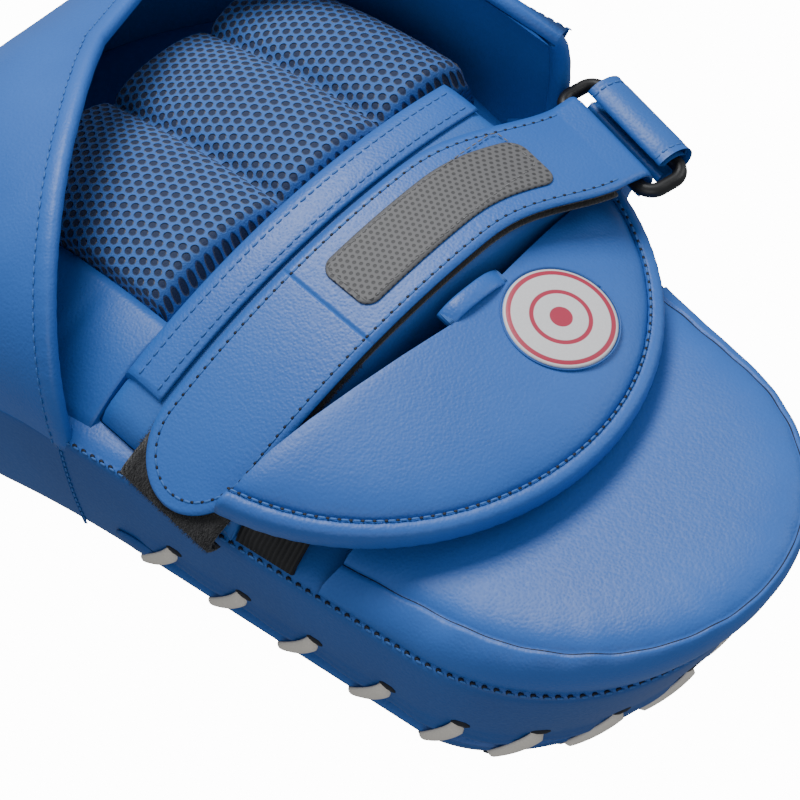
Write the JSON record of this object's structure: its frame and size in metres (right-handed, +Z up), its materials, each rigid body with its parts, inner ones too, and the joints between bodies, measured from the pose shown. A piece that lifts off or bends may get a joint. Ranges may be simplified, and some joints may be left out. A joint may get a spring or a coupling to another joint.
{
  "type": "martial arts punch pad",
  "caption": "Long curved blue leather punch pad worn on the hand, with laced side, finger hood, mesh palm rest, wrist flap and ring strap.",
  "frame": {"origin": "middle of the pad's length and width, on the plane that its two ends rest on", "axes": "+X across the pad towards the strap ring, +Y from the wrist end to the fingertip end, +Z up out of the hand side"},
  "size_m": [0.2061, 0.3432, 0.13],
  "materials": {
    "shell_leather": "satin",
    "strap_leather": "satin",
    "lining_leather": "satin",
    "accent_leather": "satin",
    "firm_foam": "matte",
    "soft_foam": "matte",
    "gel": "satin",
    "lace_cotton": "matte",
    "pile": "matte",
    "hook_tape": "matte",
    "label_print": "matte",
    "badge_print": "matte",
    "ring_paint": "satin",
    "elastic_web": "matte",
    "air_mesh": "matte"
  },
  "bodies": {
    "pad": {"back_panel": "shell_leather", "core_foam": "soft_foam", "finger_hood": "shell_leather", "firm_foam": "firm_foam", "flap_elastic": "elastic_web", "gel_sheet": "gel", "heel_foam": "soft_foam", "heel_panel": "shell_leather", "heel_side_band": "shell_leather", "hood_binding": "strap_leather", "hood_lining": "lining_leather", "lace_tongue": "shell_leather", "palm_edge_binding": "shell_leather", "palm_foam": "soft_foam", "palm_mesh": "air_mesh", "palm_side_pad": "lining_leather", "ring_anchor": "strap_leather", "side_band_finger": "shell_leather", "side_band_wrist": "shell_leather", "side_lace": "lace_cotton", "strap_lower_run": "pile", "striking_panel": "shell_leather", "target_disc": "accent_leather", "wrist_cushion_cover": "shell_leather", "wrist_cushion_foam": "soft_foam"},
    "ring": {"strap_ring": "ring_paint"},
    "strap_main": {"strap_base": "strap_leather", "strap_base_pile": "pile", "strap_label": "label_print"},
    "strap_end": {"strap_tip": "strap_leather", "hook_patch": "hook_tape"},
    "flap": {"flap_cover": "shell_leather", "flap_foam": "soft_foam", "flap_underside": "lining_leather", "flap_binding": "strap_leather", "flap_badge": "badge_print", "hang_loop": "strap_leather"}
  },
  "joints": [
    {"name": "ring_swing", "type": "hinge", "parent": "pad", "child": "ring", "pos_m": [0.0985, -0.04518, 0.09673], "axis": [0.1768, 0.9747, 0.137], "range_deg": [0, 30]},
    {"name": "strap_open", "type": "hinge", "parent": "ring", "child": "strap_main", "pos_m": [0.08374, -0.04256, 0.0971], "axis": [0.1768, 0.9747, 0.137], "range_deg": [0, 100]},
    {"name": "strap_tip_peel", "type": "hinge", "parent": "strap_main", "child": "strap_end", "pos_m": [-0.022, -0.03033, 0.10598], "axis": [0, 0.9903, 0.1392], "range_deg": [0, 115]},
    {"name": "flap_lift", "type": "hinge", "parent": "pad", "child": "flap", "pos_m": [0, -0.0511, 0.10002], "axis": [-1, 0, 0], "range_deg": [0, 25], "stiffness_Nm_per_rad": 0.8}
  ]
}
